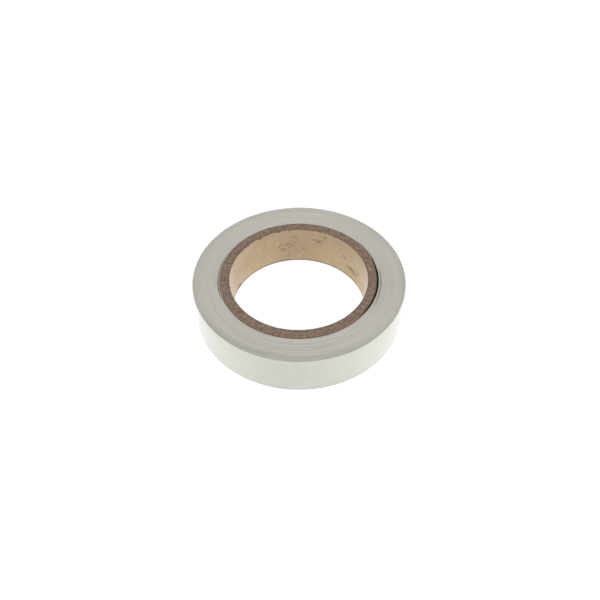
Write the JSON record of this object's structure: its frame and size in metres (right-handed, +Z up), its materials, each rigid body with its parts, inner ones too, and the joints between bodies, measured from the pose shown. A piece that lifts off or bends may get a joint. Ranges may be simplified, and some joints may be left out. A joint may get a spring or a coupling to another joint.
{
  "type": "copper foil tape roll",
  "caption": "Roll of adhesive copper foil tape with a pale release liner outwards, wound on a spiral paper core, with a short loose tail.",
  "frame": {"origin": "centre of the core's bore at the roll's lower face, the face it lies on", "axes": "+Z up along the core's axis, +X to the right and +Y to the back as the roll is seen from its front"},
  "size_m": [0.1178, 0.1178, 0.025],
  "materials": {
    "bore_paper": "matte",
    "core_board": "matte",
    "winding_edge": "satin",
    "copper_foil": "satin",
    "adhesive": "satin",
    "release_liner": "satin"
  },
  "bodies": {
    "winding": {"wound_tape": "winding_edge", "outer_lap_foil": "copper_foil", "outer_lap_adhesive": "adhesive", "outer_lap_liner": "release_liner"},
    "loose_laps": {"inner_laps": "winding_edge", "first_lap_foil": "copper_foil", "first_lap_adhesive": "adhesive", "first_lap_liner": "release_liner"},
    "core": {"core_liner_ply": "bore_paper", "core_body_ply_1": "core_board", "core_body_ply_2": "core_board", "core_body_ply_3": "core_board", "core_body_ply_4": "core_board", "core_body_ply_5": "core_board", "core_body_ply_6": "core_board", "core_body_ply_7": "core_board", "core_body_ply_8": "core_board", "core_facing_ply": "core_board"},
    "tape_tail": {"tail_foil": "copper_foil", "tail_adhesive": "adhesive"},
    "liner_tail": {"tail_liner": "release_liner"}
  },
  "joints": [
    {"name": "laps_telescope", "type": "slide", "parent": "winding", "child": "loose_laps", "axis": [0, 0, 1], "range_m": [0, 0.008]},
    {"name": "core_turn", "type": "hinge", "parent": "loose_laps", "child": "core", "pos_m": [0, 0, 0], "axis": [0, 0, 1], "continuous": true},
    {"name": "tail_peel", "type": "hinge", "parent": "winding", "child": "tape_tail", "pos_m": [-0.00504, 0.05936, 0.01225], "axis": [0, 0, -1], "range_deg": [0, 100]},
    {"name": "liner_peel", "type": "hinge", "parent": "tape_tail", "child": "liner_tail", "pos_m": [-0.00504, 0.05936, 0.01225], "axis": [0, 0, -1], "range_deg": [0, 70]}
  ]
}
